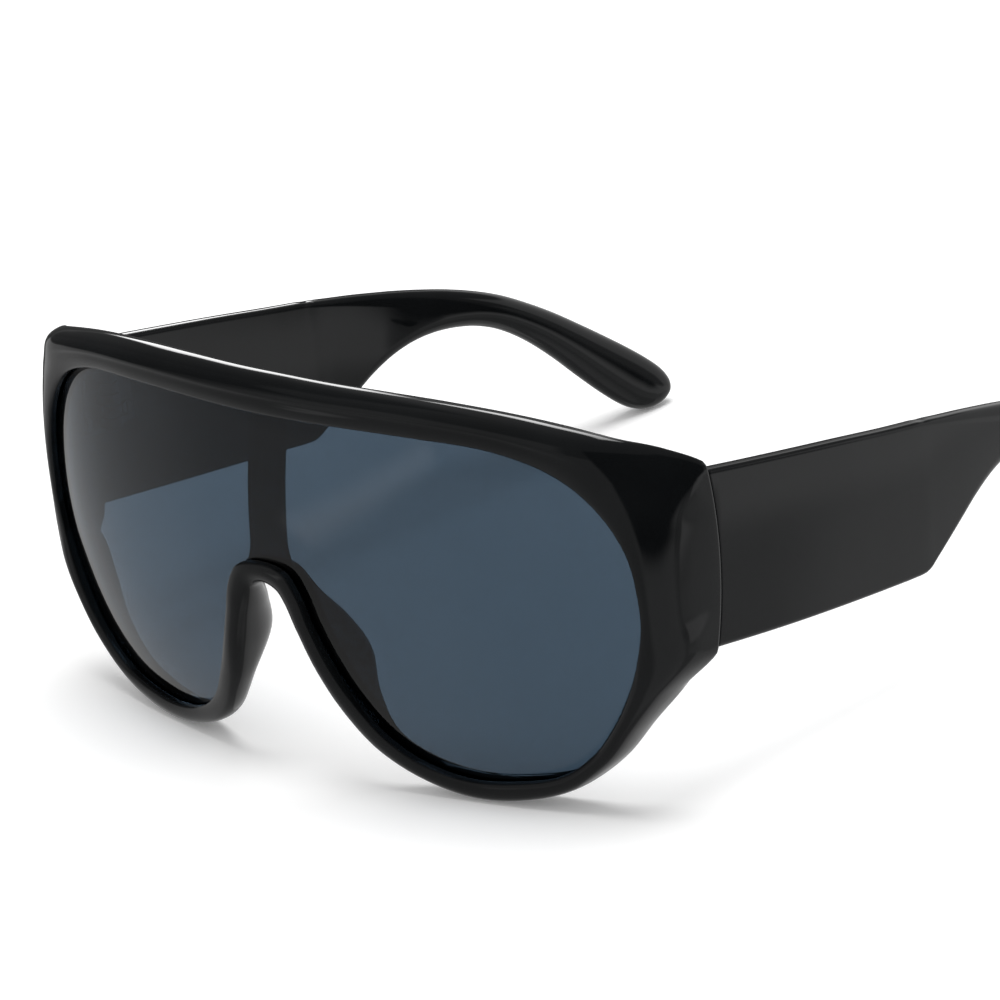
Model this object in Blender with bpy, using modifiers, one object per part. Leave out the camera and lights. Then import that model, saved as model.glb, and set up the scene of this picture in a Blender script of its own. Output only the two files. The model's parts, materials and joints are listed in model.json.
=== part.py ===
"""Oversized one-piece shield sunglasses, open and standing on the lobes and the ear tips.

Metres, +Z up. The front faces -Y, the temples run towards +Y, X is left to right.
The pieces are drawn from the foremost point of the front, and the whole is then set with
its origin on the ground, on the plane of symmetry, halfway from front to tips.
"""

import math

import bmesh
import bpy
from mathutils import Matrix, Vector

# Overall sizes
HALF_WIDTH = 0.073
OUTLINE_STEPS = 73  # drawing steps across the half width, in which all outlines are written
GRID = HALF_WIDTH / OUTLINE_STEPS
FIT_GAP = 0.0003  # clearance between two pieces that touch

# Curvature of the front: wrap in plan, tighter towards the ends, and bow in height
WRAP_RADIUS = 0.234
WRAP_END_LENGTH = 0.142
FACE_RADIUS = 0.091
FACE_MIDDLE_SHARE = 36.9
FACE_LEAN_SHARE = 0.023  # rise over run, top leaning back

# Lens and its groove
LENS_RECESS = 0.0015
LENS_THICKNESS = 0.0014
LENS_SEAT = 0.0012  # how far the lens edge runs into the groove
LENS_CELLS_WIDE = 30
LENS_CELLS_HIGH = 12

# Centre bar behind the lens
BAR_HALF_WIDTH = 0.004
BAR_THICKNESS = 0.0012
BAR_FLARE = 0.0016
BAR_FLARE_RUN = 0.005
BAR_EDGE = 0.0004
BAR_STATIONS = 14

# Joint between end piece and temple, an arc in side view
END_DEPTH = 0.01034  # from the front's surface at the half width back to the joint
JOINT_RADIUS = 0.066
JOINT_MIDDLE_SHARE = 45.9
JOINT_TOP_SHARE = 56.6
JOINT_FOOT_SHARE = 26.6
JOINT_OVERRUN = 0.0015  # how far cuts run past the joint
JOINT_OVERHEIGHT = 0.012
JOINT_ARC_STEPS = 24

# Temples
TEMPLE_THICKNESS = 0.003
HOOK_THICKNESS = 0.0056
TEMPLE_BOW_SHARE = 0.0355
TEMPLE_BEND_RADIUS = 0.704
PLATE_EDGE = 0.0008
HOOK_SQUARE_SHARE = 0.85  # 1 is an ellipse, 0 a rectangle

# Hinges
LEAF_THICKNESS = 0.0012
LEAF_PROUD = 0.0008  # how far a leaf stands off the plate that it is let into
LEAF_REACH = 0.0067
LEAF_SHOULDER = 0.0009  # leaf beyond the knuckles, at each end
LEAF_SETBACK = 0.0006
KNUCKLE_RADIUS = 0.0017
KNUCKLE_EASE = 0.0001
KNUCKLE_STACK = 0.0106
KNUCKLES = 5
PIN_RADIUS = 0.00055
PIN_HEAD_HEIGHT = 0.0007

# Leaf screws
SCREW_SPREAD = 0.0036
SCREW_BACK = 0.0049
SCREW_RADIUS = 0.0005
SCREW_HEAD_RADIUS = 0.0012
SCREW_HEAD_HEIGHT = 0.0006
SCREW_LENGTH = 0.0023
SCREW_HEAD_SINK = 0.0007
SLOT_WIDTH = 0.0003
SLOT_DEPTH = 0.0003

ROUND_SEGMENTS = 16
SMALL_SEGMENTS = 12
RIM_STEPS = 3
TEMPLE_STEPS = 2

# The rim's key sections from the middle of the brow round one lobe to the middle of the
# nose arch, in drawing steps. Each row: the opening's edge (x, z), the outer edge (x, z),
# the depth, the share of brow, slanted corner, end piece and nose pad in the section, and
# the height at which the inner wall meets the joint.
RIM_KEY_SHARES = (
    (0.0, 63.4, 0.0, 68.8, 8.6, 1.0, 0.0, 0.0, 0.0, 0.0),
    (11.1, 63.5, 11.3, 68.7, 8.6, 1.0, 0.0, 0.0, 0.0, 0.0),
    (22.3, 63.6, 22.8, 68.6, 8.6, 1.0, 0.0, 0.0, 0.0, 0.0),
    (33.4, 63.4, 34.3, 68.2, 8.6, 1.0, 0.0, 0.0, 0.0, 0.0),
    (44.5, 62.6, 46.2, 67.1, 8.6, 1.0, 0.0, 0.0, 0.0, 0.0),
    (52.6, 60.5, 55.8, 65.7, 8.8, 1.0, 0.0, 0.0, 0.0, 62.0),
    (57.8, 57.8, 63.2, 64.0, 9.8, 0.8, 0.2, 0.0, 0.0, 60.0),
    (61.8, 54.2, 69.2, 61.0, 12.4, 0.25, 0.75, 0.0, 0.0, 58.2),
    (64.8, 50.0, 73.0, 56.6, 15.7, 0.0, 1.0, 0.0, 0.0, 56.6),
    (66.9, 45.0, 73.0, 49.5, 16.4, 0.0, 0.3, 0.7, 0.0, 49.5),
    (67.8, 39.5, 73.0, 41.5, 16.2, 0.0, 0.0, 1.0, 0.0, 41.5),
    (67.9, 33.5, 73.0, 34.0, 15.6, 0.0, 0.0, 1.0, 0.0, 34.0),
    (66.6, 27.0, 73.0, 26.6, 13.6, 0.0, 0.2, 0.8, 0.0, 26.6),
    (64.9, 22.3, 69.0, 20.9, 10.6, 0.0, 0.0, 0.35, 0.0, 22.2),
    (62.0, 16.7, 64.6, 15.0, 8.4, 0.0, 0.0, 0.0, 0.0, 0.0),
    (57.5, 10.8, 59.5, 8.7, 7.2, 0.0, 0.0, 0.0, 0.0, 0.0),
    (50.8, 6.0, 52.0, 3.3, 6.6, 0.0, 0.0, 0.0, 0.0, 0.0),
    (42.6, 4.0, 43.0, 0.5, 6.4, 0.0, 0.0, 0.0, 0.0, 0.0),
    (34.0, 3.5, 33.9, 0.0, 5.9, 0.0, 0.0, 0.0, 0.0, 0.0),
    (26.2, 5.4, 24.7, 2.3, 5.2, 0.0, 0.0, 0.0, 0.0, 0.0),
    (20.0, 9.6, 17.1, 6.9, 4.8, 0.0, 0.0, 0.0, 0.25, 0.0),
    (15.6, 15.7, 11.9, 13.7, 6.9, 0.0, 0.0, 0.0, 0.85, 0.0),
    (12.3, 22.2, 8.6, 20.6, 10.4, 0.0, 0.0, 0.0, 1.0, 0.0),
    (9.6, 29.0, 5.9, 27.9, 8.8, 0.0, 0.0, 0.0, 1.0, 0.0),
    (7.9, 34.0, 4.1, 32.1, 6.2, 0.0, 0.0, 0.0, 0.4, 0.0),
    (5.2, 37.6, 2.6, 33.9, 5.6, 0.0, 0.0, 0.0, 0.0, 0.0),
    (0.0, 38.6, 0.0, 34.8, 5.6, 0.0, 0.0, 0.0, 0.0, 0.0),
)

# Section shapes: shares of the way from the opening's edge to the outer edge, and of the
# depth. The rows of all the tables go round the section in step with each other.
RIM_SHARES = (
    (0.0, 0.0),
    (0.14, -0.05),
    (0.32, -0.07),
    (0.52, -0.06),
    (0.72, -0.01),
    (0.87, 0.08),
    (0.96, 0.22),
    (1.0, 0.42),
    (0.99, 0.6),
    (0.94, 0.78),
    (0.83, 0.92),
    (0.64, 1.0),
    (0.38, 1.0),
    (0.12, 0.99),
    (0.0, 0.9),
    (0.0, 0.45),
)
BROW_SHARES = (
    (0.0, 0.0),
    (0.15, -0.04),
    (0.34, -0.05),
    (0.53, -0.035),
    (0.65, -0.045),
    (0.82, 0.03),
    (0.95, 0.19),
    (1.0, 0.4),
    (0.99, 0.6),
    (0.89, 0.8),
    (0.69, 0.94),
    (0.44, 1.0),
    (0.16, 1.0),
    (0.02, 0.97),
    (0.0, 0.86),
    (0.0, 0.45),
)
CORNER_SHARES = (
    (0.0, 0.0),
    (0.14, -0.005),
    (0.3, 0.04),
    (0.52, 0.16),
    (0.72, 0.34),
    (0.86, 0.52),
    (0.95, 0.69),
    (1.0, 0.85),
    (1.0, 1.0),
    (0.5, 1.0),
    (0.0, 1.0),
    (0.05, 0.82),
    (0.3, 0.62),
    (0.7, 0.53),
    (1.0, 0.49),
    (1.0, 0.24),
)
END_SHARES = (
    (0.0, 0.0),
    (0.15, -0.01),
    (0.31, 0.015),
    (0.56, 0.09),
    (0.78, 0.2),
    (0.91, 0.36),
    (0.97, 0.58),
    (1.0, 0.8),
    (1.0, 1.0),
    (0.5, 1.0),
    (0.0, 1.0),
    (0.05, 0.82),
    (0.3, 0.62),
    (0.7, 0.53),
    (1.0, 0.49),
    (1.0, 0.24),
)
PAD_SHARES = (
    (0.0, 0.0),
    (0.14, -0.04),
    (0.32, -0.06),
    (0.52, -0.06),
    (0.72, -0.03),
    (0.88, 0.04),
    (0.97, 0.13),
    (1.0, 0.26),
    (0.97, 0.46),
    (0.82, 0.68),
    (0.55, 0.88),
    (0.24, 1.0),
    (-0.12, 0.99),
    (-0.3, 0.84),
    (-0.08, 0.66),
    (0.0, 0.36),
)
WALL_FIRST = 9  # corner and end rows from here measure from the joint's inner edge

# Temple side view, in drawing steps, y from the joint: the lower and upper edge (y, z) at
# each key section, how far the section has turned from flat plate to rounded ear hook, and
# the share of the thickness that is left towards the tip.
TEMPLE_KEY_SHARES = (
    (-4.3, 26.7, -4.3, 56.9, 0.0, 1.0),
    (8.7, 24.8, 8.7, 54.4, 0.0, 1.0),
    (19.7, 23.3, 19.7, 52.3, 0.0, 1.0),
    (31.7, 21.8, 31.7, 50.0, 0.0, 1.0),
    (41.7, 20.6, 42.7, 47.8, 0.0, 1.0),
    (46.9, 20.0, 48.5, 46.7, 0.0, 1.0),
    (49.6, 19.8, 51.2, 46.2, 0.0, 1.0),
    (51.1, 20.1, 52.9, 45.8, 0.0, 1.0),
    (52.5, 20.8, 54.6, 45.5, 0.02, 1.0),
    (56.2, 22.8, 58.8, 44.6, 0.06, 1.0),
    (60.8, 25.3, 64.0, 43.5, 0.15, 1.0),
    (65.6, 27.9, 69.2, 42.3, 0.28, 1.0),
    (70.6, 29.9, 75.0, 40.9, 0.46, 1.0),
    (75.8, 31.0, 80.6, 39.4, 0.66, 1.0),
    (81.2, 31.1, 86.3, 37.7, 0.84, 1.0),
    (86.7, 30.3, 92.2, 35.6, 0.96, 1.0),
    (92.2, 28.7, 98.2, 33.0, 1.0, 1.0),
    (97.8, 26.0, 104.3, 29.6, 1.0, 1.0),
    (103.6, 21.9, 110.5, 25.7, 1.0, 1.0),
    (109.3, 16.8, 116.6, 21.4, 1.0, 1.0),
    (114.8, 11.2, 122.6, 17.0, 1.0, 1.0),
    (120.0, 6.1, 128.1, 12.8, 1.0, 1.0),
    (124.1, 2.6, 132.2, 9.4, 1.0, 1.0),
    (127.1, 0.8, 134.8, 6.8, 1.0, 0.98),
    (129.6, 0.1, 136.2, 4.6, 1.0, 0.9),
    (131.8, 0.2, 136.4, 3.0, 1.0, 0.72),
    (133.6, 0.7, 136.0, 2.0, 1.0, 0.42),
)

QUARTER_SHARES = ((1, 1), (-1, 1), (-1, -1), (1, -1))  # sides of the temple section's corners
EDGE_POINTS = 4  # points round each of its edges

BLACK = (0.012, 0.013, 0.015, 1.0)
SMOKE = (0.056, 0.083, 0.112, 1.0)
STEEL = (0.16, 0.16, 0.17, 1.0)


def clear_scene():
    for obj in list(bpy.data.objects):
        bpy.data.objects.remove(obj, do_unlink=True)


def new_collection(name):
    made = bpy.data.collections.new(name)
    bpy.context.scene.collection.children.link(made)
    return made


def new_material(name, colour, roughness, metallic, clear):
    made = bpy.data.materials.new(name)
    made.use_nodes = True
    shader = made.node_tree.nodes["Principled BSDF"]
    shader.inputs["Base Color"].default_value = colour
    shader.inputs["Roughness"].default_value = roughness
    shader.inputs["Metallic"].default_value = metallic
    shader.inputs["Transmission Weight"].default_value = clear
    return made


def add_object(name, mesh, material, origin, parent):
    """A part whose mesh is in world space, moved so that its origin is at origin."""
    mesh.transform(Matrix.Translation(-origin))
    made = bpy.data.objects.new(name, mesh)
    PARTS.objects.link(made)
    mesh.materials.append(material)
    made.parent = parent
    made.location = origin - (parent.location if parent else Vector())
    return made


def add_cutter(name, mesh):
    made = bpy.data.objects.new(name, mesh)
    CUTTERS.objects.link(made)
    made.hide_render = True
    made.display_type = "WIRE"
    return made


def boolean(target, cutter, operation):
    modifier = target.modifiers.new(cutter.name, "BOOLEAN")
    modifier.operation = operation
    modifier.object = cutter
    return modifier


def mesh_from(bm, name):
    bmesh.ops.recalc_face_normals(bm, faces=bm.faces)
    mesh = bpy.data.meshes.new(name)
    bm.to_mesh(mesh)
    bm.free()
    return mesh


def box_mesh(name, low, high):
    bm = bmesh.new()
    bmesh.ops.create_cube(bm, size=1.0)
    low, high = Vector(low), Vector(high)
    size = Matrix.Diagonal((*(high - low), 1.0))
    bmesh.ops.transform(bm, matrix=Matrix.Translation((low + high) / 2) @ size, verts=bm.verts)
    return mesh_from(bm, name)


def rod_mesh(name, start, end, radius, segments):
    """A cylinder between two points."""
    start, end = Vector(start), Vector(end)
    along = end - start
    turn = along.to_track_quat("Z", "Y").to_matrix().to_4x4()
    bm = bmesh.new()
    bmesh.ops.create_cone(
        bm,
        cap_ends=True,
        segments=segments,
        radius1=radius,
        radius2=radius,
        depth=along.length,
        matrix=Matrix.Translation((start + end) / 2) @ turn,
    )
    return mesh_from(bm, name)


def prism_mesh(name, outline, half_depth, turn):
    """A flat outline drawn as a 2D curve, extruded both ways and made a mesh."""
    curve = bpy.data.curves.new(name, "CURVE")
    curve.dimensions = "2D"
    curve.fill_mode = "BOTH"
    curve.extrude = half_depth
    spline = curve.splines.new("POLY")
    spline.points.add(len(outline) - 1)
    for point, (across, up) in zip(spline.points, outline):
        point.co = (across, up, 0.0, 1.0)
    spline.use_cyclic_u = True
    guide = bpy.data.objects.new(name, curve)
    CUTTERS.objects.link(guide)
    bpy.context.view_layer.update()
    graph = bpy.context.evaluated_depsgraph_get()
    mesh = bpy.data.meshes.new_from_object(guide.evaluated_get(graph))
    bpy.data.objects.remove(guide, do_unlink=True)
    bm = bmesh.new()
    bm.from_mesh(mesh)
    bpy.data.meshes.remove(mesh)
    bmesh.ops.remove_doubles(bm, verts=bm.verts, dist=FIT_GAP / 10)
    bmesh.ops.transform(bm, matrix=turn, verts=bm.verts)
    return mesh_from(bm, name)


def face_y(x, z):
    """How far back the front's surface lies at this place."""
    rise = z - FACE_MIDDLE_SHARE * GRID
    wrap = x * x / (2 * WRAP_RADIUS) + x**4 / WRAP_END_LENGTH**3
    return wrap + rise * rise / (2 * FACE_RADIUS) + FACE_LEAN_SHARE * rise


def lens_y(x, z):
    """How far back the lens's front surface lies at this place."""
    return face_y(x, z) + LENS_RECESS


# Places that follow from the sizes above
JOINT_MIDDLE_Z = JOINT_MIDDLE_SHARE * GRID
JOINT_TOP_Z = JOINT_TOP_SHARE * GRID
JOINT_FOOT_Z = JOINT_FOOT_SHARE * GRID
JOINT_Y = face_y(HALF_WIDTH, JOINT_MIDDLE_Z) + END_DEPTH
HINGE_Z = JOINT_MIDDLE_Z
LEAF_INNER = KNUCKLE_RADIUS + KNUCKLE_EASE  # hinge axis to the leaf's inner face
HINGE_X = HALF_WIDTH - TEMPLE_THICKNESS - LEAF_PROUD - LEAF_INNER
LEAF_HEIGHT = KNUCKLE_STACK + 2 * LEAF_SHOULDER
BORE_RADIUS = PIN_RADIUS + FIT_GAP
PIN_HEAD_RADIUS = KNUCKLE_RADIUS - FIT_GAP


def joint_y(z):
    """The joint's arc in side view."""
    drop = z - JOINT_MIDDLE_Z
    return JOINT_Y - JOINT_RADIUS + math.sqrt(JOINT_RADIUS**2 - drop**2)


def temple_outer_x(y):
    run = y - JOINT_Y
    return HALF_WIDTH + TEMPLE_BOW_SHARE * run - run * run / (2 * TEMPLE_BEND_RADIUS)


def smooth_tracks(rings, steps, mirrored_ends):
    """Rings between the key rings, on a smooth curve through each row of points."""
    keys = list(rings)
    if mirrored_ends:
        flip = Vector((-1.0, 1.0, 1.0))
        keys = [[p * flip for p in keys[1]]] + keys + [[p * flip for p in keys[-2]]]
    else:
        keys = [keys[0]] + keys + [keys[-1]]
    middles = [sum(ring, Vector()) / len(ring) for ring in keys]
    knots = [0.0]
    for before, after in zip(middles, middles[1:]):
        knots.append(knots[-1] + max((after - before).length, GRID))
    made = []
    for i in range(1, len(keys) - 2):
        span = knots[i + 1] - knots[i]
        for step in range(steps):
            t = step / steps
            ring = []
            for a, b, c, d in zip(keys[i - 1], keys[i], keys[i + 1], keys[i + 2]):
                start = (c - a) / (knots[i + 1] - knots[i - 1]) * span
                end = (d - b) / (knots[i + 2] - knots[i]) * span
                ring.append(
                    b * (2 * t**3 - 3 * t**2 + 1)
                    + start * (t**3 - 2 * t**2 + t)
                    + c * (3 * t**2 - 2 * t**3)
                    + end * (t**3 - t**2)
                )
            made.append(ring)
    made.append(list(keys[-2]))
    return made


def loft(rings, capped):
    """A skin through rings of equal counts."""
    bm = bmesh.new()
    rows = [[bm.verts.new(p) for p in ring] for ring in rings]
    count = len(rows[0])
    for one, two in zip(rows, rows[1:]):
        for j in range(count):
            k = (j + 1) % count
            bm.faces.new((one[j], one[k], two[k], two[j]))
    if capped:
        bm.faces.new(rows[0])
        bm.faces.new(rows[-1])
    return bm


def smooth_shade(mesh, degrees):
    mesh.shade_smooth()
    mesh.set_sharp_from_angle(angle=math.radians(degrees))


def rim_section(row):
    """The sixteen corners of one section of the front."""
    edge_x, edge_z, outer_x, outer_z, depth, brow, corner, end, pad, wall_z = row
    edge = Vector((edge_x, edge_z)) * GRID
    outer = Vector((outer_x, outer_z)) * GRID
    wall = Vector((HALF_WIDTH - TEMPLE_THICKNESS, wall_z * GRID))
    depth = depth * GRID
    front = face_y(edge.x, edge.y)
    plain = 1.0 - brow - corner - end - pad
    ring = []
    for i in range(len(RIM_SHARES)):
        place, back = Vector((0.0, 0.0)), 0.0
        for weight, table in ((plain, RIM_SHARES), (brow, BROW_SHARES), (pad, PAD_SHARES)):
            place += weight * edge.lerp(outer, table[i][0])
            back += weight * table[i][1]
        start = edge if i < WALL_FIRST else wall
        finish = outer if i <= WALL_FIRST else edge
        for weight, table in ((corner, CORNER_SHARES), (end, END_SHARES)):
            place += weight * start.lerp(finish, table[i][0])
            back += weight * table[i][1]
        ring.append(Vector((place.x, front + depth * back, place.y)))
    return ring


def front_mesh():
    """One half of the front, open at the plane of symmetry, its cheek flat at the side."""
    keys = [rim_section(row) for row in RIM_KEY_SHARES]
    rings = smooth_tracks(keys, RIM_STEPS, True)
    for ring in rings:
        for point in ring:
            point.x = min(point.x, HALF_WIDTH)
    return mesh_from(loft(rings, False), "front_frame")


def bar_mesh():
    """The centre bar, flared where it runs into the brow and the nose arch."""
    brow, arch = RIM_KEY_SHARES[0], RIM_KEY_SHARES[-1]
    head, foot = (brow[1] + brow[3]) / 2 * GRID, (arch[1] + arch[3]) / 2 * GRID
    rings = []
    for i in range(BAR_STATIONS + 1):
        z = foot + (head - foot) * i / BAR_STATIONS
        near_end = min(z - foot, head - z)
        flare = BAR_FLARE * max(0.0, 1.0 - near_end / BAR_FLARE_RUN) ** 2
        half = BAR_HALF_WIDTH + flare
        front = lens_y(0.0, z) + LENS_THICKNESS + FIT_GAP
        back = front + BAR_THICKNESS
        rings.append(
            [
                Vector((-half, front, z)),
                Vector((half, front, z)),
                Vector((half, back - BAR_EDGE, z)),
                Vector((half - BAR_EDGE, back, z)),
                Vector((BAR_EDGE - half, back, z)),
                Vector((-half, back - BAR_EDGE, z)),
            ]
        )
    return mesh_from(loft(rings, True), "bar")


def lens_outline(outset):
    """The lens edge, both lobes, set outwards from the opening's edge."""
    edges = [Vector((row[0], row[1])) * GRID for row in RIM_KEY_SHARES]
    rings = smooth_tracks([[Vector((p.x, 0.0, p.y))] for p in edges], RIM_STEPS, True)
    half = [ring[0] for ring in rings]
    loop = half + [Vector((-p.x, 0.0, p.z)) for p in reversed(half[1:-1])]
    made = []
    for i, point in enumerate(loop):
        along = loop[(i + 1) % len(loop)] - loop[i - 1]
        outward = Vector((along.z, 0.0, -along.x)).normalized()
        made.append(point - outward * outset)
    return [(p.x, p.z) for p in made]


def lens_mesh(name, outset, ease):
    """A curved blank trimmed to the lens outline, with ease added on both faces."""
    bm = bmesh.new()
    bmesh.ops.create_grid(
        bm, x_segments=LENS_CELLS_WIDE, y_segments=LENS_CELLS_HIGH, size=1.0
    )
    half_x = HALF_WIDTH + outset
    half_z = FACE_MIDDLE_SHARE * GRID
    for vert in bm.verts:
        x, z = vert.co.x * half_x, half_z + vert.co.y * half_z
        vert.co = Vector((x, lens_y(x, z) - ease, z))
    blank = bpy.data.objects.new(name + "_blank", mesh_from(bm, name + "_blank"))
    CUTTERS.objects.link(blank)
    shell = blank.modifiers.new("Thickness", "SOLIDIFY")
    shell.thickness = LENS_THICKNESS + 2 * ease
    shell.offset = -1.0
    turn = Matrix.Rotation(math.radians(90), 4, "X")
    prism = prism_mesh(name + "_trim", lens_outline(outset), HALF_WIDTH, turn)
    trim = add_cutter(name + "_trim", prism)
    boolean(blank, trim, "INTERSECT")
    bpy.context.view_layer.update()
    graph = bpy.context.evaluated_depsgraph_get()
    mesh = bpy.data.meshes.new_from_object(blank.evaluated_get(graph))
    bpy.data.objects.remove(blank, do_unlink=True)
    bpy.data.objects.remove(trim, do_unlink=True)
    return mesh


def joint_cutter(name, offset, behind):
    """Everything behind, or in front of, the joint's arc."""
    top = JOINT_TOP_Z + JOINT_OVERHEIGHT
    foot = JOINT_FOOT_Z - JOINT_OVERHEIGHT
    outline = []
    for i in range(JOINT_ARC_STEPS + 1):
        z = foot + (top - foot) * i / JOINT_ARC_STEPS
        outline.append((joint_y(z) + offset, z))
    far = JOINT_Y * 2 if behind else -JOINT_Y
    outline += [(far, top), (far, foot)]
    turn = Matrix(((0, 0, 1, 0), (1, 0, 0, 0), (0, 1, 0, 0), (0, 0, 0, 1)))
    return add_cutter(name, prism_mesh(name, outline, HALF_WIDTH * 2, turn))


def temple_ring(half_across, half_up, hook, centre, up):
    """Sixteen points round a plate with rounded edges that turns into a rounded hook."""
    ring = []
    across = Vector((1.0, 0.0, 0.0))
    edge = min(PLATE_EDGE, half_across)
    count = 4 * EDGE_POINTS
    for i in range(count):
        quarter, place = divmod(i, EDGE_POINTS)
        side_x, side_z = QUARTER_SHARES[quarter]
        angle = math.radians(90 * (quarter + place / (EDGE_POINTS - 1)))
        plate_x = side_x * (half_across - edge) + edge * math.cos(angle)
        plate_z = side_z * (half_up - edge) + edge * math.sin(angle)
        angle = math.tau * (i + 0.5) / count
        cos, sin = math.cos(angle), math.sin(angle)
        hook_x = half_across * math.copysign(abs(cos) ** HOOK_SQUARE_SHARE, cos)
        hook_z = half_up * math.copysign(abs(sin) ** HOOK_SQUARE_SHARE, sin)
        x = plate_x + (hook_x - plate_x) * hook
        z = plate_z + (hook_z - plate_z) * hook
        ring.append(centre + across * x + up * z)
    return ring


def temple_rings(side):
    keys = []
    for low_y, low_z, high_y, high_z, hook, left in TEMPLE_KEY_SHARES:
        low = Vector((0.0, low_y, low_z)) * GRID
        high = Vector((0.0, high_y, high_z)) * GRID
        thickness = TEMPLE_THICKNESS + (HOOK_THICKNESS - TEMPLE_THICKNESS) * hook
        centre = (low + high) / 2
        centre.y += JOINT_Y
        centre.x = temple_outer_x(centre.y) - thickness / 2
        up = (high - low).normalized()
        half_up = (high - low).length / 2
        keys.append(temple_ring(thickness * left / 2, half_up, hook, centre, up))
    flip = Vector((side, 1.0, 1.0))
    return [[p * flip for p in ring] for ring in smooth_tracks(keys, TEMPLE_STEPS, False)]


def pocket_mesh(name, side, toward):
    """The shallow seat for a hinge leaf, open towards the joint."""
    floor = HINGE_X + LEAF_INNER + LEAF_THICKNESS + FIT_GAP
    near = JOINT_Y - toward * JOINT_OVERRUN
    far = JOINT_Y + toward * (LEAF_REACH + FIT_GAP)
    half = LEAF_HEIGHT / 2 + FIT_GAP
    deep = HINGE_X - LEAF_REACH
    low_x, high_x = sorted((side * deep, side * floor))
    low_y, high_y = sorted((near, far))
    low = (low_x, low_y, HINGE_Z - half)
    high = (high_x, high_y, HINGE_Z + half)
    return box_mesh(name, low, high)


def leaf_outline(side, toward):
    """Plate, arm and knuckle in plan, about the hinge axis."""
    outer = LEAF_INNER + LEAF_THICKNESS
    arm = LEAF_SETBACK
    first = math.asin(arm / KNUCKLE_RADIUS)
    outline = [(outer, LEAF_REACH), (outer, arm)]
    for i in range(ROUND_SEGMENTS + 1):
        angle = first - i / ROUND_SEGMENTS * (math.pi * 1.5 + first)
        outline.append((KNUCKLE_RADIUS * math.cos(angle), KNUCKLE_RADIUS * math.sin(angle)))
    outline += [(LEAF_INNER, KNUCKLE_RADIUS), (LEAF_INNER, LEAF_REACH)]
    return [(side * u, toward * v) for u, v in outline]


def add_leaf(name, side, toward, parent):
    """One hinge leaf: knuckles cut alternately, bored for the pin, drilled for screws."""
    axis = Vector((side * HINGE_X, JOINT_Y, HINGE_Z))
    turn = Matrix.Translation(axis)
    mesh = prism_mesh(name, leaf_outline(side, toward), LEAF_HEIGHT / 2, turn)
    leaf = add_object(name, mesh, new_material(name, STEEL, 0.35, 1.0, 0.0), axis, parent)
    pitch = (KNUCKLE_STACK + FIT_GAP) / KNUCKLES
    foot = HINGE_Z - KNUCKLE_STACK / 2
    reach = KNUCKLE_RADIUS + FIT_GAP
    gaps = []
    for i in range(KNUCKLES):
        if (i % 2 == 0) == (toward > 0):
            low, high = foot + i * pitch - FIT_GAP, foot + (i + 1) * pitch
            gaps.append((low, high))
    gaps.append((HINGE_Z - LEAF_HEIGHT, foot))
    gaps.append((HINGE_Z + KNUCKLE_STACK / 2, HINGE_Z + LEAF_HEIGHT))
    for i, (low, high) in enumerate(gaps):
        edges = sorted((side * (HINGE_X - reach), side * (HINGE_X + LEAF_INNER)))
        corner = (edges[0], JOINT_Y - reach, low)
        other = (edges[1], JOINT_Y + reach, high)
        cutter = add_cutter(f"{name}_gap_{i}", box_mesh(f"{name}_gap_{i}", corner, other))
        boolean(leaf, cutter, "DIFFERENCE")
    up = Vector((0.0, 0.0, LEAF_HEIGHT))
    bore = rod_mesh(name + "_bore", axis - up, axis + up, BORE_RADIUS, ROUND_SEGMENTS)
    boolean(leaf, add_cutter(name + "_bore", bore), "DIFFERENCE")
    for place in screw_places(side, toward):
        label = f"{name}_hole_{'up' if place.z > HINGE_Z else 'low'}"
        out = Vector((side, 0.0, 0.0))
        start = place - out * LEAF_THICKNESS
        hole = rod_mesh(
            label, start, place + out * LEAF_THICKNESS * 2, SCREW_RADIUS + FIT_GAP, SMALL_SEGMENTS
        )
        boolean(leaf, add_cutter(label, hole), "DIFFERENCE")
        sink = rod_mesh(
            label + "_sink",
            start,
            place + out * SCREW_HEAD_SINK,
            SCREW_HEAD_RADIUS + FIT_GAP,
            SMALL_SEGMENTS,
        )
        boolean(leaf, add_cutter(label + "_sink", sink), "DIFFERENCE")
    return leaf


def screw_places(side, toward):
    """Where the two leaf screws cross the leaf's inner face."""
    x, y = side * (HINGE_X + LEAF_INNER), JOINT_Y + toward * SCREW_BACK
    return [Vector((x, y, HINGE_Z + way * SCREW_SPREAD)) for way in (1, -1)]


def turned_mesh(name, head_radius, head_height, radius, length):
    """A screw's profile turned about Z, its head on top and the seat at zero."""
    bm = bmesh.new()
    profile = [
        (0.0, head_height),
        (head_radius, head_height),
        (head_radius, 0.0),
        (radius, 0.0),
        (radius, -length),
        (0.0, -length),
    ]
    verts = [bm.verts.new((x, 0.0, z)) for x, z in profile]
    for one, two in zip(verts, verts[1:]):
        bm.edges.new((one, two))
    mesh = bpy.data.meshes.new(name)
    bm.to_mesh(mesh)
    bm.free()
    return mesh


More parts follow.
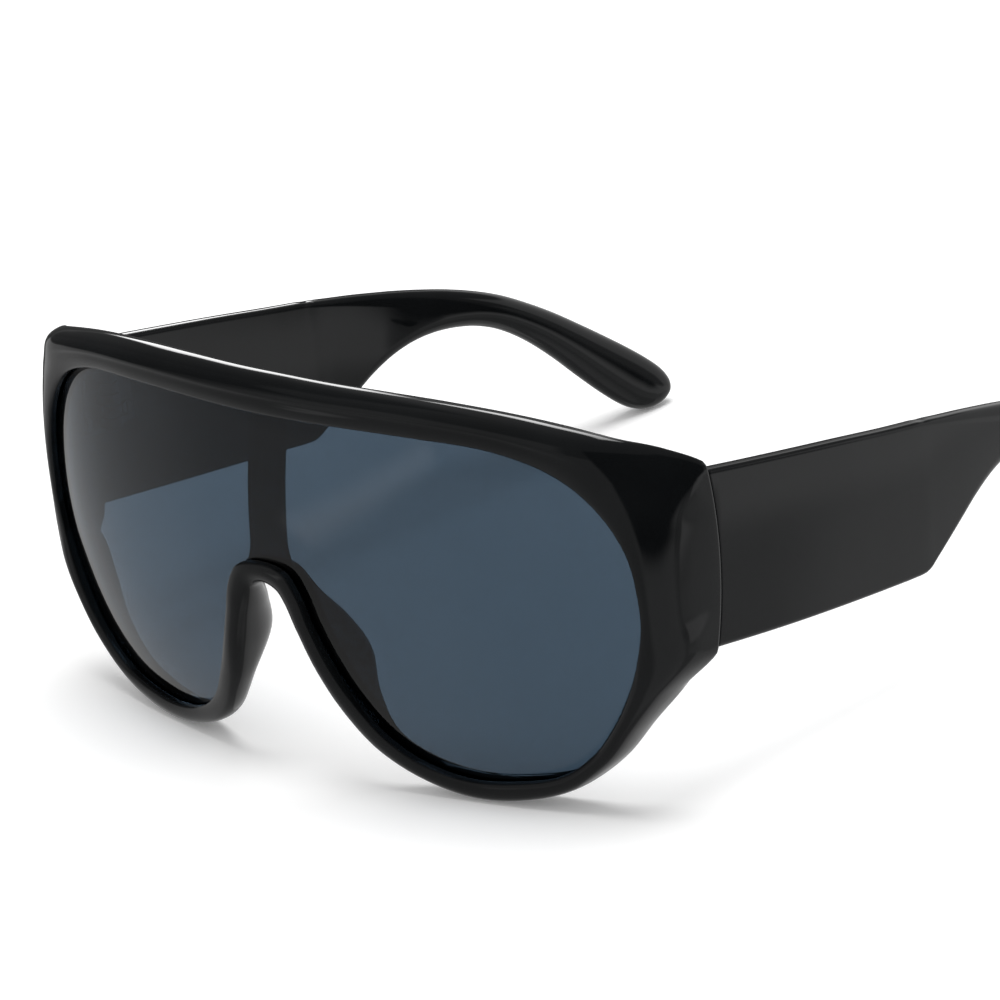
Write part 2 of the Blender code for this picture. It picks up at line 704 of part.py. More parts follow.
def add_screw(name, seat, outward, head_radius, head_height, radius, length, parent):
    """A slotted screw whose head sits at seat and whose shank runs along outward."""
    mesh = turned_mesh(name, head_radius, head_height, radius, length)
    material = new_material(name, STEEL, 0.3, 1.0, 0.0)
    screw = add_object(name, mesh, material, Vector(), None)
    screw.rotation_mode = "QUATERNION"
    screw.rotation_quaternion = (-outward).to_track_quat("Z", "Y")
    screw.parent = parent
    screw.location = seat - (parent.location if parent else Vector())
    turn = screw.modifiers.new("Turn", "SCREW")
    turn.steps = turn.render_steps = SMALL_SEGMENTS
    turn.use_merge_vertices = True
    turn.merge_threshold = FIT_GAP / 10
    turn.use_normal_calculate = True
    half = head_radius * 1.5
    top = head_height
    slot = box_mesh(
        name + "_slot",
        (-SLOT_WIDTH / 2, -half, top - SLOT_DEPTH),
        (SLOT_WIDTH / 2, half, top + SLOT_DEPTH),
    )
    slot.transform(Matrix.Translation(seat) @ screw.rotation_quaternion.to_matrix().to_4x4())
    boolean(screw, add_cutter(name + "_slot", slot), "DIFFERENCE")
    return screw


def add_screw_holes(target, side, toward, label):
    """Blind holes for the two leaf screws."""
    for i, place in enumerate(screw_places(side, toward)):
        out = Vector((side, 0.0, 0.0))
        deep = place + out * (SCREW_HEAD_SINK + SCREW_LENGTH)
        name = f"{label}_screw_hole_{i}"
        hole = rod_mesh(name, place, deep, SCREW_RADIUS + FIT_GAP, SMALL_SEGMENTS)
        boolean(target, add_cutter(name, hole), "DIFFERENCE")


def add_front():
    mesh = front_mesh()
    smooth_shade(mesh, 40)
    material = new_material("front_frame", BLACK, 0.12, 0.0, 0.0)
    front = add_object("front_frame", mesh, material, Vector(), None)
    mirror = front.modifiers.new("Mirror", "MIRROR")
    mirror.use_clip = True
    mirror.merge_threshold = FIT_GAP / 10
    boolean(front, add_cutter("bar", bar_mesh()), "UNION")
    groove = lens_mesh("groove", LENS_SEAT + FIT_GAP, FIT_GAP)
    boolean(front, add_cutter("groove", groove), "DIFFERENCE")
    boolean(front, joint_cutter("front_joint", -FIT_GAP / 2, True), "DIFFERENCE")
    for side, label in ((1, "right"), (-1, "left")):
        pocket = pocket_mesh(f"front_pocket_{label}", side, -1)
        boolean(front, add_cutter(pocket.name, pocket), "DIFFERENCE")
        add_screw_holes(front, side, -1, f"front_{label}")
    return front


def add_lens(front):
    mesh = lens_mesh("lens", LENS_SEAT, 0.0)
    smooth_shade(mesh, 40)
    material = new_material("lens", SMOKE, 0.03, 0.0, 1.0)
    return add_object("lens", mesh, material, Vector(), front)


def add_temple(side, label):
    name = f"temple_{label}"
    axis = Vector((side * HINGE_X, JOINT_Y, HINGE_Z))
    pivot = bpy.data.objects.new(f"{name}_axis", None)
    PARTS.objects.link(pivot)
    pivot.location = axis
    mesh = mesh_from(loft(temple_rings(side), True), name)
    smooth_shade(mesh, 40)
    temple = add_object(name, mesh, new_material(name, BLACK, 0.12, 0.0, 0.0), axis, pivot)
    boolean(temple, joint_cutter(f"{name}_joint", FIT_GAP / 2, False), "DIFFERENCE")
    pocket = pocket_mesh(f"{name}_pocket", side, 1)
    boolean(temple, add_cutter(pocket.name, pocket), "DIFFERENCE")
    add_screw_holes(temple, side, 1, name)
    return pivot


def add_hinge(side, label, front, pivot):
    add_leaf(f"front_hinge_leaf_{label}", side, -1, front)
    add_leaf(f"temple_hinge_leaf_{label}", side, 1, pivot)
    top = Vector((side * HINGE_X, JOINT_Y, HINGE_Z + KNUCKLE_STACK / 2 + FIT_GAP))
    add_screw(
        f"hinge_screw_{label}",
        top,
        Vector((0.0, 0.0, -1.0)),
        PIN_HEAD_RADIUS,
        PIN_HEAD_HEIGHT,
        PIN_RADIUS,
        KNUCKLE_STACK + FIT_GAP,
        front,
    )
    out = Vector((side, 0.0, 0.0))
    for toward, owner, parent in ((-1, "front", front), (1, "temple", pivot)):
        for place, way in zip(screw_places(side, toward), ("upper", "lower")):
            add_screw(
                f"{owner}_leaf_screw_{label}_{way}",
                place + out * (SCREW_HEAD_SINK - FIT_GAP),
                out,
                SCREW_HEAD_RADIUS,
                SCREW_HEAD_HEIGHT,
                SCREW_RADIUS,
                SCREW_LENGTH,
                parent,
            )


def set_on_ground():
    """Moves everything so that the origin lies under the middle of the whole."""
    drawn = [obj for obj in PARTS.objects if obj.type == "MESH"]
    points = [obj.matrix_world @ vert.co for obj in drawn for vert in obj.data.vertices]
    middle = (min(p.y for p in points) + max(p.y for p in points)) / 2
    shift = Vector((0.0, middle, min(p.z for p in points)))
    for obj in list(PARTS.objects) + list(CUTTERS.objects):
        if obj.parent is None:
            obj.location -= shift


clear_scene()
PARTS = new_collection("oversized_sunglasses")
CUTTERS = new_collection("cutters")
FRONT = add_front()
add_lens(FRONT)
for SIDE, LABEL in ((1, "right"), (-1, "left")):
    PIVOT = add_temple(SIDE, LABEL)
    add_hinge(SIDE, LABEL, FRONT, PIVOT)
bpy.context.view_layer.update()
set_on_ground()
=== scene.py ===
import json
import math

import bmesh
import bpy
from mathutils import Matrix, Vector


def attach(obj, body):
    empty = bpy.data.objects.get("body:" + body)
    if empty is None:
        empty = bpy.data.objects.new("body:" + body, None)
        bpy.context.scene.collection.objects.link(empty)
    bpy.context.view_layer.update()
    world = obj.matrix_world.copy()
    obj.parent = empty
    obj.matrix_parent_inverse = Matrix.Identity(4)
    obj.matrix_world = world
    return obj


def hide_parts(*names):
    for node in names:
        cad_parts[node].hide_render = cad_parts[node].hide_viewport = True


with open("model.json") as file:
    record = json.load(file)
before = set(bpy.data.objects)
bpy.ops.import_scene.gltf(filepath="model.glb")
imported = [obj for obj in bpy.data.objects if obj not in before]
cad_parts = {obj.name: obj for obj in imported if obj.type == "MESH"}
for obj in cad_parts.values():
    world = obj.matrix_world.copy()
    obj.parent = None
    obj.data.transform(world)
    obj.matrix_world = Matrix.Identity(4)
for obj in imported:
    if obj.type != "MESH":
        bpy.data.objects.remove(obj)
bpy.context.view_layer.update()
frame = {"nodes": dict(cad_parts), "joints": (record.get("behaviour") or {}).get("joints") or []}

# Overall sizes
HALF_WIDTH = 0.073
OUTLINE_STEPS = 73  # drawing steps across the half width, in which all outlines are written
GRID = HALF_WIDTH / OUTLINE_STEPS
FIT_GAP = 0.0003  # clearance between two pieces that touch

# Curvature of the front: wrap in plan, tighter towards the ends, and bow in height
WRAP_RADIUS = 0.234
WRAP_END_LENGTH = 0.142
FACE_RADIUS = 0.091
FACE_MIDDLE_SHARE = 36.9
FACE_LEAN_SHARE = 0.023  # rise over run, top leaning back

# Lens and its groove
LENS_RECESS = 0.0015
LENS_THICKNESS = 0.0014
LENS_SEAT = 0.0012  # how far the lens edge runs into the groove

# Centre bar behind the lens
BAR_HALF_WIDTH = 0.004
BAR_THICKNESS = 0.0012
BAR_FLARE = 0.0016
BAR_FLARE_RUN = 0.005
BAR_EDGE = 0.0004

# Joint between end piece and temple, an arc in side view
END_DEPTH = 0.01034  # from the front's surface at the half width back to the joint
JOINT_RADIUS = 0.066
JOINT_MIDDLE_SHARE = 45.9
JOINT_TOP_SHARE = 56.6
JOINT_FOOT_SHARE = 26.6
JOINT_OVERRUN = 0.0015  # how far cuts run past the joint
JOINT_OVERHEIGHT = 0.012

# Temples
TEMPLE_THICKNESS = 0.003
HOOK_THICKNESS = 0.0056
TEMPLE_BOW_SHARE = 0.0355
TEMPLE_BEND_RADIUS = 0.704
PLATE_EDGE = 0.0008
HOOK_SQUARE_SHARE = 0.85  # 1 is an ellipse, 0 a rectangle

# Hinges
LEAF_THICKNESS = 0.0012
LEAF_PROUD = 0.0008  # how far a leaf stands off the plate that it is let into
LEAF_REACH = 0.0067
LEAF_SHOULDER = 0.0009  # leaf beyond the knuckles, at each end
KNUCKLE_RADIUS = 0.0017
KNUCKLE_EASE = 0.0001
KNUCKLE_STACK = 0.0106

# The rim's key sections from the middle of the brow round one lobe to the middle of the
# nose arch, in drawing steps. Each row: the opening's edge (x, z), the outer edge (x, z),
# the depth, the share of brow, slanted corner, end piece and nose pad in the section, and
# the height at which the inner wall meets the joint.
RIM_KEY_SHARES = (
    (0.0, 63.4, 0.0, 68.8, 8.6, 1.0, 0.0, 0.0, 0.0, 0.0),
    (11.1, 63.5, 11.3, 68.7, 8.6, 1.0, 0.0, 0.0, 0.0, 0.0),
    (22.3, 63.6, 22.8, 68.6, 8.6, 1.0, 0.0, 0.0, 0.0, 0.0),
    (33.4, 63.4, 34.3, 68.2, 8.6, 1.0, 0.0, 0.0, 0.0, 0.0),
    (44.5, 62.6, 46.2, 67.1, 8.6, 1.0, 0.0, 0.0, 0.0, 0.0),
    (52.6, 60.5, 55.8, 65.7, 8.8, 1.0, 0.0, 0.0, 0.0, 62.0),
    (57.8, 57.8, 63.2, 64.0, 9.8, 0.8, 0.2, 0.0, 0.0, 60.0),
    (61.8, 54.2, 69.2, 61.0, 12.4, 0.25, 0.75, 0.0, 0.0, 58.2),
    (64.8, 50.0, 73.0, 56.6, 15.7, 0.0, 1.0, 0.0, 0.0, 56.6),
    (66.9, 45.0, 73.0, 49.5, 16.4, 0.0, 0.3, 0.7, 0.0, 49.5),
    (67.8, 39.5, 73.0, 41.5, 16.2, 0.0, 0.0, 1.0, 0.0, 41.5),
    (67.9, 33.5, 73.0, 34.0, 15.6, 0.0, 0.0, 1.0, 0.0, 34.0),
    (66.6, 27.0, 73.0, 26.6, 13.6, 0.0, 0.2, 0.8, 0.0, 26.6),
    (64.9, 22.3, 69.0, 20.9, 10.6, 0.0, 0.0, 0.35, 0.0, 22.2),
    (62.0, 16.7, 64.6, 15.0, 8.4, 0.0, 0.0, 0.0, 0.0, 0.0),
    (57.5, 10.8, 59.5, 8.7, 7.2, 0.0, 0.0, 0.0, 0.0, 0.0),
    (50.8, 6.0, 52.0, 3.3, 6.6, 0.0, 0.0, 0.0, 0.0, 0.0),
    (42.6, 4.0, 43.0, 0.5, 6.4, 0.0, 0.0, 0.0, 0.0, 0.0),
    (34.0, 3.5, 33.9, 0.0, 5.9, 0.0, 0.0, 0.0, 0.0, 0.0),
    (26.2, 5.4, 24.7, 2.3, 5.2, 0.0, 0.0, 0.0, 0.0, 0.0),
    (20.0, 9.6, 17.1, 6.9, 4.8, 0.0, 0.0, 0.0, 0.25, 0.0),
    (15.6, 15.7, 11.9, 13.7, 6.9, 0.0, 0.0, 0.0, 0.85, 0.0),
    (12.3, 22.2, 8.6, 20.6, 10.4, 0.0, 0.0, 0.0, 1.0, 0.0),
    (9.6, 29.0, 5.9, 27.9, 8.8, 0.0, 0.0, 0.0, 1.0, 0.0),
    (7.9, 34.0, 4.1, 32.1, 6.2, 0.0, 0.0, 0.0, 0.4, 0.0),
    (5.2, 37.6, 2.6, 33.9, 5.6, 0.0, 0.0, 0.0, 0.0, 0.0),
    (0.0, 38.6, 0.0, 34.8, 5.6, 0.0, 0.0, 0.0, 0.0, 0.0),
)

# Section shapes: shares of the way from the opening's edge to the outer edge, and of the
# depth. The rows of all the tables go round the section in step with each other.
RIM_SHARES = (
    (0.0, 0.0),
    (0.14, -0.05),
    (0.32, -0.07),
    (0.52, -0.06),
    (0.72, -0.01),
    (0.87, 0.08),
    (0.96, 0.22),
    (1.0, 0.42),
    (0.99, 0.6),
    (0.94, 0.78),
    (0.83, 0.92),
    (0.64, 1.0),
    (0.38, 1.0),
    (0.12, 0.99),
    (0.0, 0.9),
    (0.0, 0.45),
)
BROW_SHARES = (
    (0.0, 0.0),
    (0.15, -0.04),
    (0.34, -0.05),
    (0.53, -0.035),
    (0.65, -0.045),
    (0.82, 0.03),
    (0.95, 0.19),
    (1.0, 0.4),
    (0.99, 0.6),
    (0.89, 0.8),
    (0.69, 0.94),
    (0.44, 1.0),
    (0.16, 1.0),
    (0.02, 0.97),
    (0.0, 0.86),
    (0.0, 0.45),
)
CORNER_SHARES = (
    (0.0, 0.0),
    (0.14, -0.005),
    (0.3, 0.04),
    (0.52, 0.16),
    (0.72, 0.34),
    (0.86, 0.52),
    (0.95, 0.69),
    (1.0, 0.85),
    (1.0, 1.0),
    (0.5, 1.0),
    (0.0, 1.0),
    (0.05, 0.82),
    (0.3, 0.62),
    (0.7, 0.53),
    (1.0, 0.49),
    (1.0, 0.24),
)
END_SHARES = (
    (0.0, 0.0),
    (0.15, -0.01),
    (0.31, 0.015),
    (0.56, 0.09),
    (0.78, 0.2),
    (0.91, 0.36),
    (0.97, 0.58),
    (1.0, 0.8),
    (1.0, 1.0),
    (0.5, 1.0),
    (0.0, 1.0),
    (0.05, 0.82),
    (0.3, 0.62),
    (0.7, 0.53),
    (1.0, 0.49),
    (1.0, 0.24),
)
PAD_SHARES = (
    (0.0, 0.0),
    (0.14, -0.04),
    (0.32, -0.06),
    (0.52, -0.06),
    (0.72, -0.03),
    (0.88, 0.04),
    (0.97, 0.13),
    (1.0, 0.26),
    (0.97, 0.46),
    (0.82, 0.68),
    (0.55, 0.88),
    (0.24, 1.0),
    (-0.12, 0.99),
    (-0.3, 0.84),
    (-0.08, 0.66),
    (0.0, 0.36),
)
WALL_FIRST = 9  # corner and end rows from here measure from the joint's inner edge

# Temple side view, in drawing steps, y from the joint: the lower and upper edge (y, z) at
# each key section, how far the section has turned from flat plate to rounded ear hook, and
# the share of the thickness that is left towards the tip.
TEMPLE_KEY_SHARES = (
    (-4.3, 26.7, -4.3, 56.9, 0.0, 1.0),
    (8.7, 24.8, 8.7, 54.4, 0.0, 1.0),
    (19.7, 23.3, 19.7, 52.3, 0.0, 1.0),
    (31.7, 21.8, 31.7, 50.0, 0.0, 1.0),
    (41.7, 20.6, 42.7, 47.8, 0.0, 1.0),
    (46.9, 20.0, 48.5, 46.7, 0.0, 1.0),
    (49.6, 19.8, 51.2, 46.2, 0.0, 1.0),
    (51.1, 20.1, 52.9, 45.8, 0.0, 1.0),
    (52.5, 20.8, 54.6, 45.5, 0.02, 1.0),
    (56.2, 22.8, 58.8, 44.6, 0.06, 1.0),
    (60.8, 25.3, 64.0, 43.5, 0.15, 1.0),
    (65.6, 27.9, 69.2, 42.3, 0.28, 1.0),
    (70.6, 29.9, 75.0, 40.9, 0.46, 1.0),
    (75.8, 31.0, 80.6, 39.4, 0.66, 1.0),
    (81.2, 31.1, 86.3, 37.7, 0.84, 1.0),
    (86.7, 30.3, 92.2, 35.6, 0.96, 1.0),
    (92.2, 28.7, 98.2, 33.0, 1.0, 1.0),
    (97.8, 26.0, 104.3, 29.6, 1.0, 1.0),
    (103.6, 21.9, 110.5, 25.7, 1.0, 1.0),
    (109.3, 16.8, 116.6, 21.4, 1.0, 1.0),
    (114.8, 11.2, 122.6, 17.0, 1.0, 1.0),
    (120.0, 6.1, 128.1, 12.8, 1.0, 1.0),
    (124.1, 2.6, 132.2, 9.4, 1.0, 1.0),
    (127.1, 0.8, 134.8, 6.8, 1.0, 0.98),
    (129.6, 0.1, 136.2, 4.6, 1.0, 0.9),
    (131.8, 0.2, 136.4, 3.0, 1.0, 0.72),
    (133.6, 0.7, 136.0, 2.0, 1.0, 0.42),
)

QUARTER_SHARES = ((1, 1), (-1, 1), (-1, -1), (1, -1))  # sides of the temple section's corners

# How finely the shapes are drawn
EDGE_POINTS = 8  # points round each of the four edges of a temple section
RIM_STEPS = 8  # sections from one row of the rim's table to the next
SECTION_STEPS = 3  # points from one corner of a rim section to the next
TEMPLE_STEPS = 6  # sections from one row of the temple's table to the next
BAR_STATIONS = 40
JOINT_ARC_STEPS = 64
LENS_COLUMNS = 90  # columns of cells on each side of the lens's middle
LENS_ROWS = 40
SHARP_ANGLE = 35  # edges sharper than this aren't shaded smooth
WELD_DISTANCE = GRID / 1000  # points nearer than this become one
LENS_WELD_DISTANCE = FIT_GAP / 100
SHORTEST_SIDE = GRID / 50  # keeps the smooth curves from dividing by nothing
SHORTEST_RUN = FIT_GAP / 1000

SIDES = ((1, "right"), (-1, "left"))
FLIP = Vector((-1.0, 1.0, 1.0))  # to the other side


def face_y(x, z):
    """How far back the front's surface lies at this place."""
    rise = z - FACE_MIDDLE_SHARE * GRID
    wrap = x * x / (2 * WRAP_RADIUS) + x**4 / WRAP_END_LENGTH**3
    return wrap + rise * rise / (2 * FACE_RADIUS) + FACE_LEAN_SHARE * rise


def lens_y(x, z):
    """How far back the lens's front surface lies at this place."""
    return face_y(x, z) + LENS_RECESS


# Places that follow from the sizes above
JOINT_MIDDLE_Z = JOINT_MIDDLE_SHARE * GRID
JOINT_TOP_Z = JOINT_TOP_SHARE * GRID
JOINT_FOOT_Z = JOINT_FOOT_SHARE * GRID
JOINT_Y = face_y(HALF_WIDTH, JOINT_MIDDLE_Z) + END_DEPTH
HINGE_Z = JOINT_MIDDLE_Z
LEAF_INNER = KNUCKLE_RADIUS + KNUCKLE_EASE  # hinge axis to the leaf's inner face
HINGE_X = HALF_WIDTH - TEMPLE_THICKNESS - LEAF_PROUD - LEAF_INNER
LEAF_HEIGHT = KNUCKLE_STACK + 2 * LEAF_SHOULDER


def lens_stretch(x, z):
    """How much longer the lens's thickness is along Y than square to its face."""
    across = x / WRAP_RADIUS + 4 * x**3 / WRAP_END_LENGTH**3
    upward = (z - FACE_MIDDLE_SHARE * GRID) / FACE_RADIUS + FACE_LEAN_SHARE
    return math.sqrt(1.0 + across * across + upward * upward)


JOINTS = {j["name"]: j for j in frame["joints"]}
SHIFT = Vector(JOINTS["right_hinge"]["pos_m"]) - Vector((HINGE_X, JOINT_Y, HINGE_Z))


def joint_y(z):
    """The joint's arc in side view."""
    drop = z - JOINT_MIDDLE_Z
    return JOINT_Y - JOINT_RADIUS + math.sqrt(JOINT_RADIUS**2 - drop**2)


def temple_outer_x(y):
    """How far out the temple's outer face lies at this place along it."""
    run = y - JOINT_Y
    return HALF_WIDTH + TEMPLE_BOW_SHARE * run - run * run / (2 * TEMPLE_BEND_RADIUS)


def hermite(a, b, c, d, before, span, after, t):
    """A point between b and c on a smooth curve through a, b, c and d."""
    start = (c - a) / (before + span) * span
    end = (d - b) / (span + after) * span
    return (
        b * (2 * t**3 - 3 * t**2 + 1)
        + start * (t**3 - 2 * t**2 + t)
        + c * (3 * t**2 - 2 * t**3)
        + end * (t**3 - t**2)
    )


def smooth_tracks(rings, steps, mirrored_ends):
    """Rings between the key rings, on a smooth curve through each row of points."""
    keys = list(rings)
    if mirrored_ends:
        keys = [[p * FLIP for p in keys[1]]] + keys + [[p * FLIP for p in keys[-2]]]
    else:
        keys = [keys[0]] + keys + [keys[-1]]
    middles = [sum(ring, Vector()) / len(ring) for ring in keys]
    spans = [max((b - a).length, GRID) for a, b in zip(middles, middles[1:])]
    made = []
    for i in range(1, len(keys) - 2):
        for step in range(steps):
            t = step / steps
            rows = zip(keys[i - 1], keys[i], keys[i + 1], keys[i + 2])
            made.append([hermite(*row, *spans[i - 1 : i + 2], t) for row in rows])
    made.append(list(keys[-2]))
    return made


def round_ring(ring, steps):
    """The ring with steps points for each of its sides, on a smooth closed curve."""
    count = len(ring)
    sides = [max((ring[(i + 1) % count] - ring[i]).length, SHORTEST_SIDE) for i in range(count)]
    made = []
    for i in range(count):
        after = (i + 1) % count
        corners = (ring[i - 1], ring[i], ring[after], ring[(i + 2) % count])
        spans = (sides[i - 1], sides[i], sides[after])
        made.extend(hermite(*corners, *spans, step / steps) for step in range(steps))
    return made


def loft(rings, capped):
    """A skin through rings of equal counts, open or closed at its two ends."""
    bm = bmesh.new()
    rows = [[bm.verts.new(p) for p in ring] for ring in rings]
    count = len(rows[0])
    for one, two in zip(rows, rows[1:]):
        for j in range(count):
            k = (j + 1) % count
            bm.faces.new((one[j], one[k], two[k], two[j]))
    if capped:
        bm.faces.new(rows[0])
        bm.faces.new(rows[-1])
    return bm


def mesh_from(bm, name):
    """The finished mesh, with all its faces looking outwards."""
    bmesh.ops.recalc_face_normals(bm, faces=bm.faces)
    mesh = bpy.data.meshes.new(name)
    bm.to_mesh(mesh)
    bm.free()
    return mesh


def box_mesh(name, low, high):
    """A box from its low corner to its high corner."""
    bm = bmesh.new()
    bmesh.ops.create_cube(bm, size=1.0)
    low, high = Vector(low), Vector(high)
    size = Matrix.Diagonal((*(high - low), 1.0))
    bmesh.ops.transform(bm, matrix=Matrix.Translation((low + high) / 2) @ size, verts=bm.verts)
    return mesh_from(bm, name)


def rim_section(row):
    """The sixteen corners of one section of the front."""
    edge_x, edge_z, outer_x, outer_z, depth, brow, corner, end, pad, wall_z = row
    edge = Vector((edge_x, edge_z)) * GRID
    outer = Vector((outer_x, outer_z)) * GRID
    wall = Vector((HALF_WIDTH - TEMPLE_THICKNESS, wall_z * GRID))
    depth = depth * GRID
    front = face_y(edge.x, edge.y)
    plain = 1.0 - brow - corner - end - pad
    ring = []
    for i in range(len(RIM_SHARES)):
        place, back = Vector((0.0, 0.0)), 0.0
        for weight, table in ((plain, RIM_SHARES), (brow, BROW_SHARES), (pad, PAD_SHARES)):
            place += weight * edge.lerp(outer, table[i][0])
            back += weight * table[i][1]
        start = edge if i < WALL_FIRST else wall
        finish = outer if i <= WALL_FIRST else edge
        for weight, table in ((corner, CORNER_SHARES), (end, END_SHARES)):
            place += weight * start.lerp(finish, table[i][0])
            back += weight * table[i][1]
        ring.append(Vector((place.x, front + depth * back, place.y)))
    return ring


def front_mesh():
    """The whole front, both lobes, its cheeks flat at the sides."""
    keys = [rim_section(row) for row in RIM_KEY_SHARES]
    half = [round_ring(ring, SECTION_STEPS) for ring in smooth_tracks(keys, RIM_STEPS, True)]
    for ring in half:
        for point in ring:
            point.x = min(point.x, HALF_WIDTH)
    for end in (half[0], half[-1]):
        for point in end:
            point.x = 0.0
    other = [[p * FLIP for p in ring] for ring in reversed(half[1:-1])]
    bm = loft(half + other + [half[0]], False)
    bmesh.ops.remove_doubles(bm, verts=bm.verts, dist=WELD_DISTANCE)
    return mesh_from(bm, "front_shell")


def bar_mesh():
    """The centre bar, flared where it runs into the brow and the nose arch."""
    brow, arch = RIM_KEY_SHARES[0], RIM_KEY_SHARES[-1]
    head, foot = (brow[1] + brow[3]) / 2 * GRID, (arch[1] + arch[3]) / 2 * GRID
    rings = []
    for i in range(BAR_STATIONS + 1):
        z = foot + (head - foot) * i / BAR_STATIONS
        near_end = min(z - foot, head - z)
        flare = BAR_FLARE * max(0.0, 1.0 - near_end / BAR_FLARE_RUN) ** 2
        half = BAR_HALF_WIDTH + flare
        front = lens_y(0.0, z) + LENS_THICKNESS + FIT_GAP
        back = front + BAR_THICKNESS
        rings.append(
            [
                Vector((-half, front, z)),
                Vector((half, front, z)),
                Vector((half, back - BAR_EDGE, z)),
                Vector((half - BAR_EDGE, back, z)),
                Vector((BAR_EDGE - half, back, z)),
                Vector((-half, back - BAR_EDGE, z)),
            ]
        )
    return mesh_from(loft(rings, True), "bar")


def lens_edge(outset):
    """One half of the lens edge, set outwards from the opening's edge."""
    edges = [Vector((row[0], 0.0, row[1])) * GRID for row in RIM_KEY_SHARES]
    half = [ring[0] for ring in smooth_tracks([[p] for p in edges], RIM_STEPS, True)]
    made = []
    for i, point in enumerate(half):
        along = half[min(i + 1, len(half) - 1)] - half[max(i - 1, 0)]
        along.z *= 0 < i < len(half) - 1
        outward = Vector((along.z, 0.0, -along.x)).normalized()
        made.append(point - outward * outset)
    return made


def height_at(line, x):
    """The height of a line of points that runs in x, at this x."""
    for a, b in zip(line, line[1:]):
        if a.x <= x <= b.x:
            return a.z + (b.z - a.z) * (x - a.x) / max(b.x - a.x, SHORTEST_RUN)
    return line[-1].z


def lens_mesh(name, outset, ease):
    """A curved lens in columns from its low edge to its high edge, or the groove for it,
    which runs further out by outset and is thicker by ease on both faces."""
    edge = lens_edge(outset)
    widest = max(range(len(edge)), key=lambda i: edge[i].x)
    upper, lower = edge[: widest + 1], edge[widest:][::-1]
    bm = bmesh.new()
    layers = ([], [])
    for k in range(-LENS_COLUMNS, LENS_COLUMNS + 1):
        x = edge[widest].x * math.sin(math.radians(90 * k / LENS_COLUMNS))
        top, low = height_at(upper, abs(x)), height_at(lower, abs(x))
        for layer, depth in zip(layers, (-ease, LENS_THICKNESS + ease)):
            column = []
            for j in range(LENS_ROWS + 1):
                z = low + (top - low) * (1.0 - math.cos(math.pi * j / LENS_ROWS)) / 2
                y = lens_y(x, z) + depth * lens_stretch(x, z)
                column.append(bm.verts.new((x, y, z)))
            layer.append(column)
    front, back = layers
    for k in range(2 * LENS_COLUMNS):
        for j in range(LENS_ROWS):
            for one, two in ((front[k], front[k + 1]), (back[k + 1], back[k])):
                bm.faces.new((one[j], two[j], two[j + 1], one[j + 1]))
        for j in (0, LENS_ROWS):
            bm.faces.new((front[k][j], back[k][j], back[k + 1][j], front[k + 1][j]))
    bmesh.ops.remove_doubles(bm, verts=bm.verts, dist=LENS_WELD_DISTANCE)
    return mesh_from(bm, name)


def joint_prism(name, offset, behind):
    """Everything behind, or in front of, the joint's arc."""
    top = JOINT_TOP_Z + JOINT_OVERHEIGHT
    foot = JOINT_FOOT_Z - JOINT_OVERHEIGHT
    far = JOINT_Y * 2 if behind else -JOINT_Y
    rings = []
    for i in range(JOINT_ARC_STEPS + 1):
        z = foot + (top - foot) * i / JOINT_ARC_STEPS
        near = joint_y(z) + offset
        corners = ((-1, near), (1, near), (1, far), (-1, far))
        rings.append([Vector((x * HALF_WIDTH * 2, y, z)) for x, y in corners])
    return mesh_from(loft(rings, True), name)


def temple_ring(half_across, half_up, hook, centre, up):
    """Points round a plate with rounded edges that turns into a rounded hook."""
    ring = []
    across = Vector((1.0, 0.0, 0.0))
    edge = min(PLATE_EDGE, half_across)
    count = len(QUARTER_SHARES) * EDGE_POINTS
    for i in range(count):
        quarter, place = divmod(i, EDGE_POINTS)
        side_x, side_z = QUARTER_SHARES[quarter]
        angle = math.radians(90 * (quarter + place / (EDGE_POINTS - 1)))
        plate_x = side_x * (half_across - edge) + edge * math.cos(angle)
        plate_z = side_z * (half_up - edge) + edge * math.sin(angle)
        angle = math.tau * (i + 0.5) / count
        cos, sin = math.cos(angle), math.sin(angle)
        hook_x = half_across * math.copysign(abs(cos) ** HOOK_SQUARE_SHARE, cos)
        hook_z = half_up * math.copysign(abs(sin) ** HOOK_SQUARE_SHARE, sin)
        x = plate_x + (hook_x - plate_x) * hook
        z = plate_z + (hook_z - plate_z) * hook
        ring.append(centre + across * x + up * z)
    return ring


def temple_rings(side):
    """All sections of one temple, from the joint to the tip."""
    keys = []
    for low_y, low_z, high_y, high_z, hook, left in TEMPLE_KEY_SHARES:
        low = Vector((0.0, low_y, low_z)) * GRID
        high = Vector((0.0, high_y, high_z)) * GRID
        thickness = TEMPLE_THICKNESS + (HOOK_THICKNESS - TEMPLE_THICKNESS) * hook
        centre = (low + high) / 2
        centre.y += JOINT_Y
        centre.x = temple_outer_x(centre.y) - thickness / 2
        up = (high - low).normalized()
        half_up = (high - low).length / 2
        keys.append(temple_ring(thickness * left / 2, half_up, hook, centre, up))
    flip = Vector((side, 1.0, 1.0))
    return [[p * flip for p in ring] for ring in smooth_tracks(keys, TEMPLE_STEPS, False)]


def pocket_mesh(name, side, toward):
    """The shallow seat for a hinge leaf, open towards the joint."""
    floor = HINGE_X + LEAF_INNER + LEAF_THICKNESS + FIT_GAP
    near = JOINT_Y - toward * JOINT_OVERRUN
    far = JOINT_Y + toward * (LEAF_REACH + FIT_GAP)
    half = LEAF_HEIGHT / 2 + FIT_GAP
    deep = HINGE_X - LEAF_REACH
    low_x, high_x = sorted((side * deep, side * floor))
    low_y, high_y = sorted((near, far))
    low = (low_x, low_y, HINGE_Z - half)
    high = (high_x, high_y, HINGE_Z + half)
    return box_mesh(name, low, high)


